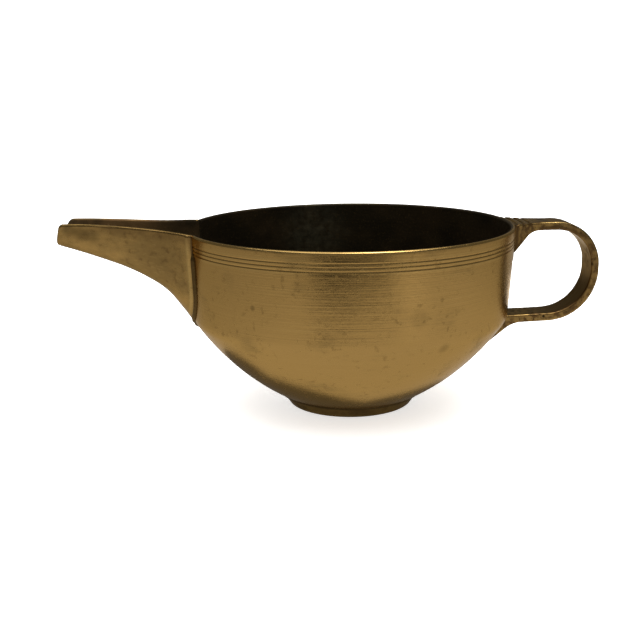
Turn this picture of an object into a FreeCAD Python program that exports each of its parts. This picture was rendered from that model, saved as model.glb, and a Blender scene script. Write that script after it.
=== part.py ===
import FreeCAD, Part
import math
import os
import re
import Sketcher
from FreeCAD import Placement, Rotation, Vector

# A brass sauce boat: a round bowl on a ring foot, a long open pouring spout on the -X side
# and a cast strap handle on the +X side, silver-soldered together.
# Millimetres. The origin is the centre of the foot's resting face; +Z is up and +X runs
# towards the handle. The XZ plane is the plane of symmetry.

SIZES = {
    # bowl
    "RimRadius": 61.2, "RimHeight": 68, "WallThick": 1.8, "RimRound": 0.8,
    "ShoulderRadius": 58.95, "ShoulderHeight": 34.7, "ShoulderRound": 5, "BellyRadius": 93,
    "BaseHeight": 1.6,
    "LineHeight": 64.15, "LinePitch": 1.35, "LineWidth": 0.7, "LineDepth": 0.25,
    # foot ring
    "FootTopRadius": 27, "FootTopHeight": 4.56, "FootBaseRadius": 23.6, "FootBoreRadius": 20,
    "FootRound": 0.8,
    # spout: the bottom of its section is a round of this share of the half width
    "SpoutThick": 1.7, "SpoutRound": 0.88, "SpoutLean": 19, "SpoutCorner": 1.8,
    # handle
    "HandleTop": 68, "HandleBottom": 30, "HandleReach": 94.1,
    "UpperRound": 16.6, "LowerRound": 19.6,
    "StrapThick": 3.2, "StrapWidth": 12.4, "StrapRound": 0.7,
    "RootWidth": 25, "FlareReach": 76, "FlareRadius": 25.3,
    "GussetReach": 70.3, "GussetFoot": 56, "GussetRound": 6,
    "HeelReach": 65, "HeelHeight": 29.7, "HeelRound": 10.5, "ToeReach": 53, "ToeHeight": 22.7,
    "ReedReach": 61.2, "ReedPitch": 2.7, "ReedWidth": 1.3, "ReedDepth": 0.5,
    # solder beads
    "BeadWidth": 1.3, "BeadThick": 0.45,
}

# Stations of the spout, from inside the bowl out to the tip: distance from the bowl's axis,
# half width at the top, height of the top edge, height of the keel.
STATIONS = [
    (51, 24.5, 68.0, 27.2),
    (57, 21.0, 68.2, 32.2),
    (61, 18.6, 68.6, 36.7),
    (66, 15.4, 69.0, 43.1),
    (73, 12.4, 69.6, 48.8),
    (83, 10.5, 70.4, 54.1),
    (92, 9.2, 71.0, 57.6),
    (100, 8.7, 71.3, 60.4),
    (107.7, 8.4, 71.3, 62.9),
]
TIP = len(STATIONS) - 1
FULL_TURN = 360
CENTRE_POINT = 3
SEAT_HEADROOM = 12
TROUGH_HEADROOM = "5"
CLOSE = 0.01
QUARTER = (math.sqrt(2) - 1) / 2  # the bulge of a quarter turn

for number, station in enumerate(STATIONS):
    for word, value in zip(("Reach", "Half", "Top", "Keel"), station):
        SIZES["Station%d%s" % (number, word)] = value

doc = FreeCAD.newDocument("SauceBoat")
sheet = doc.addObject("Spreadsheet::Sheet", "Sizes")
for row, (alias, value) in enumerate(SIZES.items(), start=1):
    sheet.set("A%d" % row, alias)
    sheet.set("B%d" % row, str(value))
    sheet.setAlias("B%d" % row, alias)
doc.recompute()


def size(formula):
    """The present value of a formula of sheet aliases."""
    return float(sheet.evalExpression(formula))


def bind(formula):
    """The formula as an expression for another object: each alias is read from the sheet."""
    return re.sub("[A-Z][A-Za-z0-9]*", lambda alias: "Sizes." + alias.group(), formula)


def make_body(label):
    body = doc.addObject("PartDesign::Body", label)
    body.Label = label
    body.Placement = Placement()
    return body


def origin_plane(body, role):
    return next(feature for feature in body.Origin.OriginFeatures if feature.Role == role)


class Outline:
    """A closed outline of straight and round stretches in one sketch."""

    def __init__(self, body, name, role):
        self.sketch = body.newObject("Sketcher::SketchObject", name)
        self.sketch.AttachmentSupport = [(origin_plane(body, role), "")]
        self.sketch.MapMode = "FlatFace"
        self.edges = []
        self.last = None

    def start(self, across, up):
        self.last = Vector(across, up, 0)
        self.edges = []
        return self

    def line(self, across, up):
        end = Vector(across, up, 0)
        index = self.sketch.addGeometry(Part.LineSegment(self.last, end), False)
        self.edges.append((index, 1, 2))
        self.last = end
        return self

    def arc(self, across, up, bulge):
        """A round stretch. Bulge is its height over its chord, and more than 0 where the
        stretch turns left."""
        end = Vector(across, up, 0)
        chord = end - self.last
        middle = (self.last + end) / 2 + Vector(chord.y, -chord.x, 0) * bulge
        found = Part.Circle(self.last, middle, end)
        circle = Part.Circle(found.Center, Vector(0, 0, 1), found.Radius)
        low, high = (self.last, end) if bulge > 0 else (end, self.last)
        from_angle = math.atan2(low.y - circle.Center.y, low.x - circle.Center.x)
        to_angle = math.atan2(high.y - circle.Center.y, high.x - circle.Center.x)
        if to_angle <= from_angle:
            to_angle += 2 * math.pi
        index = self.sketch.addGeometry(Part.ArcOfCircle(circle, from_angle, to_angle), False)
        self.edges.append((index, 1, 2) if bulge > 0 else (index, 2, 1))
        self.last = end
        return self

    def close(self, tangent=()):
        """Join the stretches end to end; a stretch in tangent runs smoothly into the next."""
        for place, (index, _, tail) in enumerate(self.edges):
            following, head, _ = self.edges[(place + 1) % len(self.edges)]
            kind = "Tangent" if place in tangent else "Coincident"
            self.sketch.addConstraint(Sketcher.Constraint(kind, index, tail, following, head))
        return self

    def _drive(self, kind, arguments, formula):
        number = self.sketch.addConstraint(
            Sketcher.Constraint(kind, *arguments, size(formula)))
        self.sketch.setExpression("Constraints[%d]" % number, bind(formula))

    def _pin(self, index, point, across, up):
        for formula, kind, axis in ((across, "DistanceX", -2), (up, "DistanceY", -1)):
            if formula == "0":
                self.sketch.addConstraint(
                    Sketcher.Constraint("PointOnObject", index, point, axis))
            elif formula:
                self._drive(kind, (-1, 1, index, point), formula)

    def place(self, edge, across=None, up=None):
        """Set where a stretch starts."""
        index, head, _ = self.edges[edge]
        self._pin(index, head, across, up)
        return self

    def centre(self, edge, across=None, up=None):
        """Set the centre of a round stretch."""
        self._pin(self.edges[edge][0], CENTRE_POINT, across, up)
        return self

    def radius(self, edge, formula):
        self._drive("Radius", (self.edges[edge][0],), formula)
        return self

    def level(self, *edges):
        for edge in edges:
            self.sketch.addConstraint(Sketcher.Constraint("Horizontal", self.edges[edge][0]))
        return self

    def upright(self, *edges):
        for edge in edges:
            self.sketch.addConstraint(Sketcher.Constraint("Vertical", self.edges[edge][0]))
        return self

    def parallel(self, edge, other):
        self.sketch.addConstraint(
            Sketcher.Constraint("Parallel", self.edges[edge][0], self.edges[other][0]))
        return self

    def meets(self, edges, across, up):
        """Two stretches, extended, cross at a point."""
        point = self.sketch.addGeometry(
            Part.Point(Vector(size(across), size(up), 0)), True)
        for edge in edges:
            self.sketch.addConstraint(
                Sketcher.Constraint("PointOnObject", point, 1, self.edges[edge][0]))
        self._drive("DistanceX", (-1, 1, point, 1), across)
        self._drive("DistanceY", (-1, 1, point, 1), up)
        return self


def turn(body, kind, name, outline):
    """A full turn of an outline about the bowl's axis, added or cut."""
    feature = body.newObject("PartDesign::" + kind, name)
    feature.Profile = outline.sketch
    feature.ReferenceAxis = (outline.sketch, ["V_Axis"])
    feature.Angle = FULL_TURN
    return feature


def through(body, kind, name, outline, width):
    """A pad or pocket of an outline, half of its width to each side of the sketch."""
    feature = body.newObject("PartDesign::" + kind, name)
    feature.Profile = outline.sketch
    feature.SideType = "Symmetric"
    feature.setExpression("Length", bind(width))
    return feature


def loft(body, kind, name, sections):
    feature = body.newObject("PartDesign::" + kind, name)
    feature.Profile = sections[0].sketch
    feature.Sections = [section.sketch for section in sections[1:]]
    feature.Ruled = False
    return feature


def round_edges(body, name, wanted, radius):
    """A fillet on the edges of the body's tip for which wanted(edge) is true."""
    doc.recompute()
    base = body.Tip
    names = ["Edge%d" % number for number, edge in enumerate(base.Shape.Edges, start=1)
             if wanted(edge)]
    feature = body.newObject("PartDesign::Fillet", name)
    feature.Base = (base, names)
    feature.setExpression("Radius", bind(radius))
    return feature


def bowl_corner(corner, skin):
    """Where the bowl's outer face, grown by skin, has a corner: across and up."""
    across, up, out, down = {
        "base": ("0", "BaseHeight", 0, 1),
        "foot": ("FootTopRadius", "FootTopHeight", 0.48, 0.88),
        "shoulder": ("ShoulderRadius", "ShoulderHeight", 0.98, 0.33),
        "rim": ("RimRadius", "RimHeight", 1, 0),
    }[corner]
    return "%s + (%s) * %g" % (across, skin, out), "%s - (%s) * %g" % (up, skin, down)


def draw_bowl_side(outline, skin):
    """Draw the belly, the rounded shoulder and the straight wall, up from the foot. Returns
    the step that constrains them, to be called once the outline is closed."""
    belly = len(outline.edges)
    shoulder, rim = bowl_corner("shoulder", skin), bowl_corner("rim", skin)
    bend = size("(ShoulderRound + %s) / 3" % skin)
    across, up = size(shoulder[0]), size(shoulder[1])
    outline.arc(across - bend, up - bend, 0.06).arc(across, up + bend, 0.1)
    outline.line(size(rim[0]), size(rim[1]))

    def constrain():
        outline.place(belly, *bowl_corner("foot", skin)).radius(belly, "BellyRadius + " + skin)
        outline.radius(belly + 1, "ShoulderRound + " + skin)
        outline.meets((belly, belly + 2), *shoulder)
    return constrain


def bowl_side(body, name, skin="0", headroom=0):
    """The bowl's outer face as a closed outline down to its axis, grown by skin."""
    base, foot = size(bowl_corner("base", skin)[1]), bowl_corner("foot", skin)
    rim, rim_height = size(bowl_corner("rim", skin)[0]), size("RimHeight")
    outline = Outline(body, name, "XZ_Plane").start(0, base)
    outline.line(size("FootTopRadius * 2 / 3"), base).arc(size(foot[0]), size(foot[1]), 0.1)
    constrain = draw_bowl_side(outline, skin)
    if headroom:
        outline.line(rim, rim_height + headroom)
    outline.line(0, rim_height + headroom).line(0, base).close(tangent=(0, 1, 2, 3))
    top = len(outline.edges) - 2
    outline.place(0, "0", bowl_corner("base", skin)[1]).level(0, top)
    outline.place(5, *bowl_corner("rim", skin)).place(top + 1, "0")
    constrain()
    if headroom:
        outline.upright(5).place(top, None, "RimHeight + %g" % headroom)
    return outline


def spout_section(body, name, number, skin="0", lift="0"):
    """One station of the spout, grown by skin: straight sides on a round bottom. The last
    one leans about its keel, and is drawn taller so that its top stays at its height."""
    station = "Station%d" % number
    lean = "SpoutLean" if number == TIP else "0"
    half = "%sHalf + %s" % (station, skin)
    top = "%sKeel + (%sTop + %s - %sKeel) / cos(%s)" % (station, station, lift, station, lean)
    bottom = "%sHalf * SpoutRound + %s" % (station, skin)
    middle = "%sKeel + %sHalf * SpoutRound" % (station, station)
    reach, keel = size("%sReach" % station), Vector(0, size("%sKeel" % station), 0)
    tilt = Rotation(Vector(1, 0, 0), size(lean))
    outline = Outline(body, name, "YZ_Plane")
    outline.sketch.AttachmentOffset = Placement(
        keel - tilt.multVec(keel) - Vector(0, 0, reach), tilt)
    wide, high, radius, low = size(half), size(top), size(bottom), size(middle)
    outline.start(-wide, high).line(wide, high).line(radius, low)
    outline.arc(-radius, low, -0.5).line(-wide, high)
    outline.close(tangent=(1, 2))
    outline.place(0, "0 - (%s)" % half, top).place(1, half, top)
    outline.radius(2, bottom).centre(2, "0", middle)
    return outline


def spout_loft(body, kind, name, skin="0", lift="0", last=TIP):
    sections = [spout_section(body, "%sStation%d" % (name, number), number, skin, lift)
                for number in range(last + 1)]
    return loft(body, kind, name, sections)


def seat_on_bowl(body, name="BowlSeat"):
    """Cut away whatever lies inside the bowl's outer face or above its mouth."""
    turn(body, "Groove", name, bowl_side(body, name + "Outline", headroom=SEAT_HEADROOM))


def keep_near_bowl(body, skin, name="BeadFace"):
    """Cut away whatever stands further than skin out of the bowl's outer face."""
    foot, rim = bowl_corner("foot", skin), bowl_corner("rim", skin)
    far, top = size("HandleReach"), size("RimHeight") + SEAT_HEADROOM
    outline = Outline(body, name + "Outline", "XZ_Plane").start(size(foot[0]), size(foot[1]))
    constrain = draw_bowl_side(outline, skin)
    outline.line(size(rim[0]), top).line(far, top).line(far, size(foot[1]))
    outline.line(size(foot[0]), size(foot[1])).close(tangent=(0, 1))
    constrain()
    outline.place(3, *rim).upright(3, 5).level(4, 6)
    outline.place(5, "HandleReach", "RimHeight + %g" % SEAT_HEADROOM)
    turn(body, "Groove", name, outline)


def make_bowl():
    body = make_body("bowl")
    turn(body, "Revolution", "Wall", bowl_side(body, "WallOutline"))
    turn(body, "Groove", "Cavity", bowl_side(body, "CavityOutline", "0 - WallThick"))
    turn(body, "Groove", "TurnedLines", line_outline(body))
    round_edges(body, "RimEdges", is_rim_edge, "RimRound")
    spout_loft(body, "SubtractiveLoft", "SpoutMouth", "0 - SpoutThick", TROUGH_HEADROOM, last=3)
    return body


def line_outline(body):
    """Three turned lines below the rim, each a V cut into the wall."""
    outline = Outline(body, "LinesOutline", "XZ_Plane")
    for number in range(3):
        height = "LineHeight - LinePitch * %d" % number
        wall = "RimRadius - (RimHeight - (%s)) * (RimRadius - ShoulderRadius) / " \
               "(RimHeight - ShoulderHeight)" % height
        face, level = size(wall), size(height)
        half, depth = size("LineWidth / 2"), size("LineDepth")
        outline.start(face - depth, level).line(face + depth, level - half * 2)
        outline.line(face + depth, level + half * 2).line(face - depth, level).close()
        outline.place(0, "%s - LineDepth" % wall, height)
        outline.place(1, "%s + LineDepth" % wall, "%s - LineWidth" % height)
        outline.place(2, "%s + LineDepth" % wall, "%s + LineWidth" % height)
    return outline


def is_rim_edge(edge):
    at_rim = abs(edge.BoundBox.ZMin - size("RimHeight")) < CLOSE
    return at_rim and edge.BoundBox.ZLength < CLOSE and isinstance(edge.Curve, Part.Circle)


def make_foot_ring():
    body = make_body("foot_ring")
    base, top = size("FootBaseRadius"), size("FootTopRadius")
    bore, height = size("FootBoreRadius"), size("FootTopHeight")
    outline = Outline(body, "RingOutline", "XZ_Plane").start(bore, 0).line(base, 0)
    outline.line(top, height).line(bore, height).line(bore, 0).close()
    outline.place(0, "FootBoreRadius", "0").place(1, "FootBaseRadius", "0")
    outline.place(2, "FootTopRadius", "FootTopHeight").level(2).upright(3)
    turn(body, "Revolution", "Ring", outline)
    seat_on_bowl(body)
    round_edges(body, "FootEdge", is_foot_edge, "FootRound")
    return body


def is_foot_edge(edge):
    flat = abs(edge.BoundBox.ZMax) < CLOSE and isinstance(edge.Curve, Part.Circle)
    return flat and abs(edge.Curve.Radius - size("FootBaseRadius")) < CLOSE


def make_spout():
    body = make_body("spout")
    spout_loft(body, "AdditiveLoft", "SpoutSkin")
    spout_loft(body, "SubtractiveLoft", "SpoutTrough", "0 - SpoutThick", TROUGH_HEADROOM)
    seat_on_bowl(body)
    through(body, "Pocket", "LipCorners", lip_outline(body), "Station1Half * 2")
    return body


def lip_outline(body):
    """Side view of what is cut from the top corners of the spout's open end."""
    tip = "Station%d" % TIP
    corner = "%sReach - (%sTop - %sKeel) * tan(SpoutLean)" % (tip, tip, tip)
    top, back = "%sTop" % tip, "0 - (%s) + SpoutCorner" % corner
    front = "0 - (%s) - SpoutCorner * sin(SpoutLean)" % corner
    low = "%s - SpoutCorner * cos(SpoutLean)" % top
    clear, above = front + " - SpoutCorner", top + " + SpoutCorner"
    outline = Outline(body, "LipOutline", "XZ_Plane").start(size(front), size(low))
    outline.arc(size(back), size(top), -0.2)
    outline.line(size(back), size(above)).line(size(clear), size(above))
    outline.line(size(clear), size(low)).line(size(front), size(low)).close()
    outline.place(0, front, low).place(1, back, top).place(2, None, above)
    outline.place(3, clear).level(2, 4).upright(1, 3).radius(0, "SpoutCorner * 1.3")
    return outline


def strap_outline(body):
    """Side view of the handle: a strap that leaves the rim level, turns down in a tight
    round and comes back to the bowl in a wider one."""
    top, bottom, reach = size("HandleTop"), size("HandleBottom"), size("HandleReach")
    inside, thick = size("ShoulderRadius - 4"), size("StrapThick")
    upper, lower = size("UpperRound"), size("LowerRound")
    heel, heel_height, bend = size("HeelReach"), size("HeelHeight"), size("HeelRound")
    toe, toe_height = size("ToeReach"), size("ToeHeight")
    outline = Outline(body, "StrapOutline", "XZ_Plane").start(inside, top)
    outline.line(reach - upper, top).arc(reach, top - upper, -QUARTER)
    outline.line(reach, bottom + lower).arc(reach - lower, bottom, -QUARTER)
    outline.line(heel, heel_height).arc(heel - bend * 0.7, heel_height - bend * 0.3, 0.1)
    outline.line(toe, toe_height).line(toe - thick, toe_height + thick)
    outline.line(inside, heel_height + thick).line(reach - lower, bottom + thick)
    outline.arc(reach - thick, bottom + lower, QUARTER).line(reach - thick, top - upper)
    outline.arc(reach - upper, top - thick, QUARTER)
    outline.line(inside, top - thick).line(inside, top)
    outline.close(tangent=(0, 1, 2, 3, 4, 5, 9, 10, 11, 12))
    outline.place(0, "ShoulderRadius - 4", "HandleTop").level(0)
    outline.radius(1, "UpperRound").upright(2).place(2, "HandleReach")
    outline.place(3, None, "HandleBottom + LowerRound").radius(3, "LowerRound")
    outline.place(5, "HeelReach", "HeelHeight").radius(5, "HeelRound")
    outline.place(7, "ToeReach", "ToeHeight")
    outline.place(8, "ToeReach - StrapThick", "ToeHeight + StrapThick")
    outline.place(9, "ShoulderRadius - 4").parallel(9, 4).radius(10, "LowerRound - StrapThick")
    outline.place(11, "HandleReach - StrapThick", "HandleBottom + LowerRound").upright(11)
    outline.place(12, None, "HandleTop - UpperRound").radius(12, "UpperRound - StrapThick")
    outline.level(13).upright(14)
    return outline


def gusset_outline(body):
    """Side view of the thick upper root, which slopes down to the bowl."""
    inside, top = size("ShoulderRadius - 4"), size("HandleTop")
    under, reach = size("HandleTop - StrapThick"), size("GussetReach")
    foot, bend = size("GussetFoot"), size("GussetRound")
    outline = Outline(body, "GussetOutline", "XZ_Plane").start(inside, top)
    outline.line(size("FlareReach"), top).line(size("FlareReach"), under).line(reach, under)
    outline.arc(reach - bend * 0.77, under - bend * 0.36, 0.1)
    outline.line(size("RimRadius") - 1, foot).line(inside, foot).line(inside, top)
    outline.close(tangent=(2, 3))
    outline.place(0, "ShoulderRadius - 4", "HandleTop").level(0, 2, 5).upright(1, 6)
    outline.place(2, "FlareReach", "HandleTop - StrapThick").place(3, "GussetReach")
    outline.radius(3, "GussetRound").place(5, "RimRadius - 1", "GussetFoot")
    return outline


def flare_outline(body):
    """Plan of what is cut from both sides of the upper root, leaving a flare that grows
    from the strap's width to the bowl."""
    outline = Outline(body, "FlareOutline", "XY_Plane")
    inside, reach = size("ShoulderRadius - 4"), size("FlareReach")
    half, bend, wide = size("StrapWidth / 2"), size("FlareRadius"), size("RootWidth / 2 + 1")
    run = math.sqrt(bend ** 2 - (bend + half - wide) ** 2)
    for side, sign in ((1, ""), (-1, "0 - ")):
        outline.start(reach, side * half)
        outline.arc(reach - run, side * wide, -0.15 * side)
        outline.line(reach, side * wide).line(reach, side * half).close()
        outline.place(0, "FlareReach", sign + "StrapWidth / 2")
        outline.centre(0, "FlareReach", sign + "(StrapWidth / 2 + FlareRadius)")
        outline.place(1, None, sign + "(RootWidth / 2 + 1)").level(1).upright(2)
    return outline


def reed_outline(body):
    """Side view of the three grooves across the top of the root."""
    outline = Outline(body, "ReedOutline", "XZ_Plane")
    for number in range(3):
        middle = "ReedReach + ReedPitch * %d" % number
        across, top = size(middle), size("HandleTop")
        half, depth = size("ReedWidth / 2"), size("ReedDepth")
        outline.start(across, top - depth).line(across + half * 2, top + depth)
        outline.line(across - half * 2, top + depth).line(across, top - depth).close()
        outline.place(0, middle, "HandleTop - ReedDepth")
        outline.place(1, middle + " + ReedWidth", "HandleTop + ReedDepth")
        outline.place(2, middle + " - ReedWidth", "HandleTop + ReedDepth")
    return outline


def side_reed_outline(body):
    """Plan of the grooves that carry the first reed down both sides of the root."""
    outline = Outline(body, "SideReedOutline", "XY_Plane")
    flank = "StrapWidth / 2 + FlareRadius - sqrt(FlareRadius ^ 2 - (FlareReach - ReedReach) ^ 2)"
    for side, sign in ((1, ""), (-1, "0 - ")):
        across, edge = size("ReedReach"), size(flank) * side
        half, depth = size("ReedWidth / 2"), size("ReedDepth") * side
        outline.start(across, edge - depth).line(across + half * 2, edge + depth)
        outline.line(across - half * 2, edge + depth).line(across, edge - depth).close()
        outline.place(0, "ReedReach", sign + "(%s - ReedDepth)" % flank)
        outline.place(1, "ReedReach + ReedWidth", sign + "(%s + ReedDepth)" % flank)
        outline.place(2, "ReedReach - ReedWidth", sign + "(%s + ReedDepth)" % flank)
    return outline


def is_loop_edge(edge):
    """The long edges of the strap, out beyond the flare."""
    box = edge.BoundBox
    on_side = abs(abs(box.YMin) - size("StrapWidth / 2")) < CLOSE and box.YLength < CLOSE
    return on_side and box.XMax > size("GussetReach") and edge.Length > size("StrapThick")


def make_handle():
    body = make_body("handle")
    through(body, "Pad", "Strap", strap_outline(body), "StrapWidth")
    through(body, "Pad", "Root", gusset_outline(body), "RootWidth")
    through(body, "Pocket", "RootFlare", flare_outline(body), "HandleTop * 3")
    seat_on_bowl(body)
    round_edges(body, "StrapEdges", is_loop_edge, "StrapRound")
    through(body, "Pocket", "Reeds", reed_outline(body), "RootWidth * 2")
    through(body, "Pocket", "SideReeds", side_reed_outline(body), "HandleTop * 3")
    return body


def make_spout_bead():
    body = make_body("spout_solder")
    spout_loft(body, "AdditiveLoft", "Bead", "BeadWidth", "0 - 2", last=4)
    spout_loft(body, "SubtractiveLoft", "BeadInside", "0", TROUGH_HEADROOM, last=4)
    seat_on_bowl(body)
    keep_near_bowl(body, "BeadThick")
    return body


def root_bead(label, half, low, high):
    """A bead of solder round one root of the handle, lying on the bowl."""
    body = make_body(label)
    for name, kind, grow in (("Bead", "Pad", "BeadWidth * 0.7"), ("BeadInside", "Pocket", "0")):
        wide = "%s + %s" % (half, grow)
        bottom, top = "%s - %s" % (low, grow), "%s + %s" % (high, grow)
        outline = Outline(body, name + "Outline", "YZ_Plane")
        outline.start(-size(wide), size(bottom)).line(size(wide), size(bottom))
        outline.line(size(wide), size(top)).line(-size(wide), size(top))
        outline.line(-size(wide), size(bottom)).close().upright(1, 3)
        outline.place(0, "0 - (%s)" % wide, bottom).place(1, wide, bottom)
        outline.place(2, None, top).level(2)
        feature = body.newObject("PartDesign::" + kind, name)
        feature.Profile = outline.sketch
        feature.setExpression("Length", bind("FlareReach"))
        feature.Reversed = kind == "Pocket"
    seat_on_bowl(body)
    keep_near_bowl(body, "BeadThick")
    return body


def make_foot_bead():
    body = make_body("foot_solder")
    outline = Outline(body, "BeadOutline", "XZ_Plane")
    slope = "FootTopHeight / (FootTopRadius - FootBaseRadius)"
    corners = (("FootTopRadius", "FootTopHeight"),
               ("FootTopRadius - BeadWidth / 2", "FootTopHeight - BeadWidth / 2 * " + slope),
               ("FootTopRadius + BeadWidth", "FootTopHeight + BeadWidth * 0.4"),
               ("FootTopRadius + BeadWidth", "FootTopHeight + BeadWidth"))
    outline.start(size(corners[0][0]), size(corners[0][1]))
    for across, up in corners[1:] + corners[:1]:
        outline.line(size(across), size(up))
    outline.close()
    for number, (across, up) in enumerate(corners):
        outline.place(number, across, up)
    turn(body, "Revolution", "Bead", outline)
    seat_on_bowl(body)
    return body


bodies = [
    make_bowl(),
    make_foot_ring(),
    make_spout(),
    make_handle(),
    make_spout_bead(),
    root_bead("handle_top_solder", "RootWidth / 2", "GussetFoot", "HandleTop - StrapThick"),
    root_bead("handle_heel_solder", "StrapWidth / 2", "ToeHeight + StrapThick * 0.58",
              "HeelHeight + StrapThick"),
    make_foot_bead(),
]
doc.recompute()

for thing in doc.Objects:
    for bad in ("Invalid", "Error"):
        if bad in thing.State:
            raise RuntimeError("%s is %s" % (thing.Label, thing.State))
for body in bodies:
    if body.Shape.isNull() or not body.Shape.isValid():
        raise RuntimeError(body.Label + " has no valid shape")
    print(body.Label, "%.1f mm3" % body.Shape.Volume, body.Shape.BoundBox)

os.makedirs("parts", exist_ok=True)
for body in bodies:
    body.Shape.exportStep("parts/%s.step" % body.Label)
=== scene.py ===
import math

import bmesh
import bpy
import numpy as np
from mathutils import Matrix, Vector, kdtree, noise


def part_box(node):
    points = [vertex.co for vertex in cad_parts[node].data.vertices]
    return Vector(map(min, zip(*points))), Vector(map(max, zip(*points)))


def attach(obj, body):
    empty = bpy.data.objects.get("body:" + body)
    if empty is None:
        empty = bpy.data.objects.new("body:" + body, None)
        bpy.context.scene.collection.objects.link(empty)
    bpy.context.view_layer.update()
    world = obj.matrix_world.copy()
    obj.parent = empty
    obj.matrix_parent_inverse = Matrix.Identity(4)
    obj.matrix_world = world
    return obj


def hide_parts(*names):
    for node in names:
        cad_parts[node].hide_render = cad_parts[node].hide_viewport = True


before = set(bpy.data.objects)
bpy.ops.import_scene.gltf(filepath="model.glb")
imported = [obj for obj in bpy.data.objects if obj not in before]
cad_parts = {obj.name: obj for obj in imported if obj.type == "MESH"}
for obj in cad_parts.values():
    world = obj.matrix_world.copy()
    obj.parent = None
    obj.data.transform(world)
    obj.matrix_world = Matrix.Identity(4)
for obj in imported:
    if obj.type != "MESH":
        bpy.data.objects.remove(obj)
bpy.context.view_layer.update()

# An aged brass sauce boat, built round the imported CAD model. Shapes are worked out in
# millimetres in the CAD's frame and turned into metres as each mesh is made. Reach is the
# distance from the bowl's axis: along -X for the spout and along +X for the handle.
MM = 0.001


def box_mm(node):
    """The CAD node's lowest and highest corner."""
    low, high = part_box(node)
    return np.array(low) / MM, np.array(high) / MM


BOWL_BASE = box_mm("bowl")[0][2]
RIM_HEIGHT = box_mm("bowl")[1][2]
FOOT_RADIUS, _, FOOT_HEIGHT = box_mm("foot_ring")[1]
SPOUT_TIP = -box_mm("spout")[0][0]
HANDLE_TOP = box_mm("handle")[1][2]

# ---- meshes


def make_piece(name, rows, caps=(False, False), replaces=()):
    """A piece from rows of points that close on themselves: rows[i][j] joins rows[i + 1][j].
    The first and last rows may be capped with a fan."""
    rows = np.asarray(rows, float)
    count, width = rows.shape[:2]
    points = rows.reshape(-1, 3)
    faces = []
    for i in range(count - 1):
        for j in range(width):
            k = (j + 1) % width
            faces.append((i * width + j, i * width + k, (i + 1) * width + k, (i + 1) * width + j))
    for cap, i in zip(caps, (0, count - 1)):
        if cap:
            centre = len(points)
            points = np.vstack([points, rows[i].mean(axis=0)])
            for j in range(width):
                k = (j + 1) % width
                edge = (i * width + j, i * width + k)
                faces.append((*(edge if i else edge[::-1]), centre))
    return finish_piece(name, points, faces, replaces)


def finish_piece(name, points, faces, replaces):
    """Make a smooth mesh that faces outwards, hang it on the root body and hide the CAD parts
    that it replaces.
    """
    mesh = bpy.data.meshes.new(name)
    mesh.from_pydata((np.asarray(points) * MM).tolist(), [], faces)
    mesh.validate()
    mesh.shade_smooth()
    piece = bpy.data.objects.new(name, mesh)
    bpy.context.scene.collection.objects.link(piece)
    face_out(piece)
    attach(piece, "root")
    if replaces:
        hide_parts(*replaces)
    return piece


def face_out(piece):
    """Turn the faces outwards on a closed mesh whose faces already agree."""
    mesh = piece.data
    volume = 0.0
    mesh.calc_loop_triangles()
    for triangle in mesh.loop_triangles:
        a, b, c = (mesh.vertices[v].co for v in triangle.vertices)
        volume += a.dot(b.cross(c))
    if volume < 0:
        mesh.flip_normals()


def points_of(piece):
    points = np.empty(len(piece.data.vertices) * 3)
    piece.data.vertices.foreach_get("co", points)
    return points.reshape(-1, 3) / MM


def paint(piece, name, values):
    """Store a number from 0 to 1 on every vertex, for the materials to read."""
    layer = piece.data.attributes.new(name, "FLOAT", "POINT")
    layer.data.foreach_set("value", np.clip(values, 0, 1).astype(np.float32))


def cut(piece, cutter):
    """Take cutter's volume out of piece, and remove cutter."""
    modifier = piece.modifiers.new("cut", "BOOLEAN")
    modifier.object = cutter
    modifier.solver = "EXACT"
    graph = bpy.context.evaluated_depsgraph_get()
    result = bpy.data.meshes.new_from_object(piece.evaluated_get(graph))
    piece.modifiers.clear()
    old = piece.data
    piece.data = result
    bpy.data.meshes.remove(old)
    bpy.data.objects.remove(cutter)


def smoothstep(low, high, value):
    """0 at low, 1 at high and a smooth step between. Low may be the larger one."""
    share = np.clip((np.asarray(value, float) - low) / (high - low), 0, 1)
    return share * share * (3 - 2 * share)


def bump(middle, half, value):
    """A smooth hump of height 1 at middle that is 0 beyond half."""
    share = np.clip(np.abs(np.asarray(value, float) - middle) / half, 0, 1)
    return (1 + np.cos(np.pi * share)) / 2


def wobble(points, size, seed):
    """Smooth noise from -1 to 1 at each point, with features of about size millimetres."""
    shift = Vector((seed * 13.7, seed * 5.1, seed * 9.3))
    return np.array([noise.noise(Vector(p) / size + shift) for p in points])


# ---- the bowl

WALL = 1.8
WALL_LEAN = math.radians(3.865)
RIM_RADIUS = 61.2
RIM_ROUND = 0.85
# how far the rim stands inside the CAD's, which keeps it in the CAD's box
RIM_CLEAR = 0.03
# radius of the first row of the flat bottom
FLAT_START = 0.6
# the bowl's outer face: centre across, centre up, radius, first and last direction
BOWL_ARCS = (
    (15.825, 24.175, 22.575, -90.0, -60.33),
    (-19.037, 85.366, 93.0, -60.33, -33.85),
    (54.05, 36.353, 5.0, -33.85, -3.87),
)
# the turned lines, and the worn ridges between and beside them
LINE_HEIGHTS = (64.15, 62.8, 61.45)
RIDGE_HEIGHTS = (65.0, 63.45, 62.1, 60.7)
LINE_HALF = 0.4
LINE_DEPTH = 0.18
LINE_MARGIN = 0.8
# hollows of beaten metal: size, seed and depth, and how far they stand out on the whole
DENTS = ((17, 1, 0.05), (45, 2, 0.09))
DENT_RISE = 0.06
# spacing of the points on small roundings
FINE_STEP = 0.12


def arc_points(across, up, radius, first, last, step):
    """Points about step apart on an arc, between two directions in degrees."""
    count = max(3, int(abs(math.radians(last - first)) * radius / step))
    angles = np.radians(np.linspace(first, last, count))
    return np.column_stack([across + radius * np.cos(angles), up + radius * np.sin(angles)])


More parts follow.
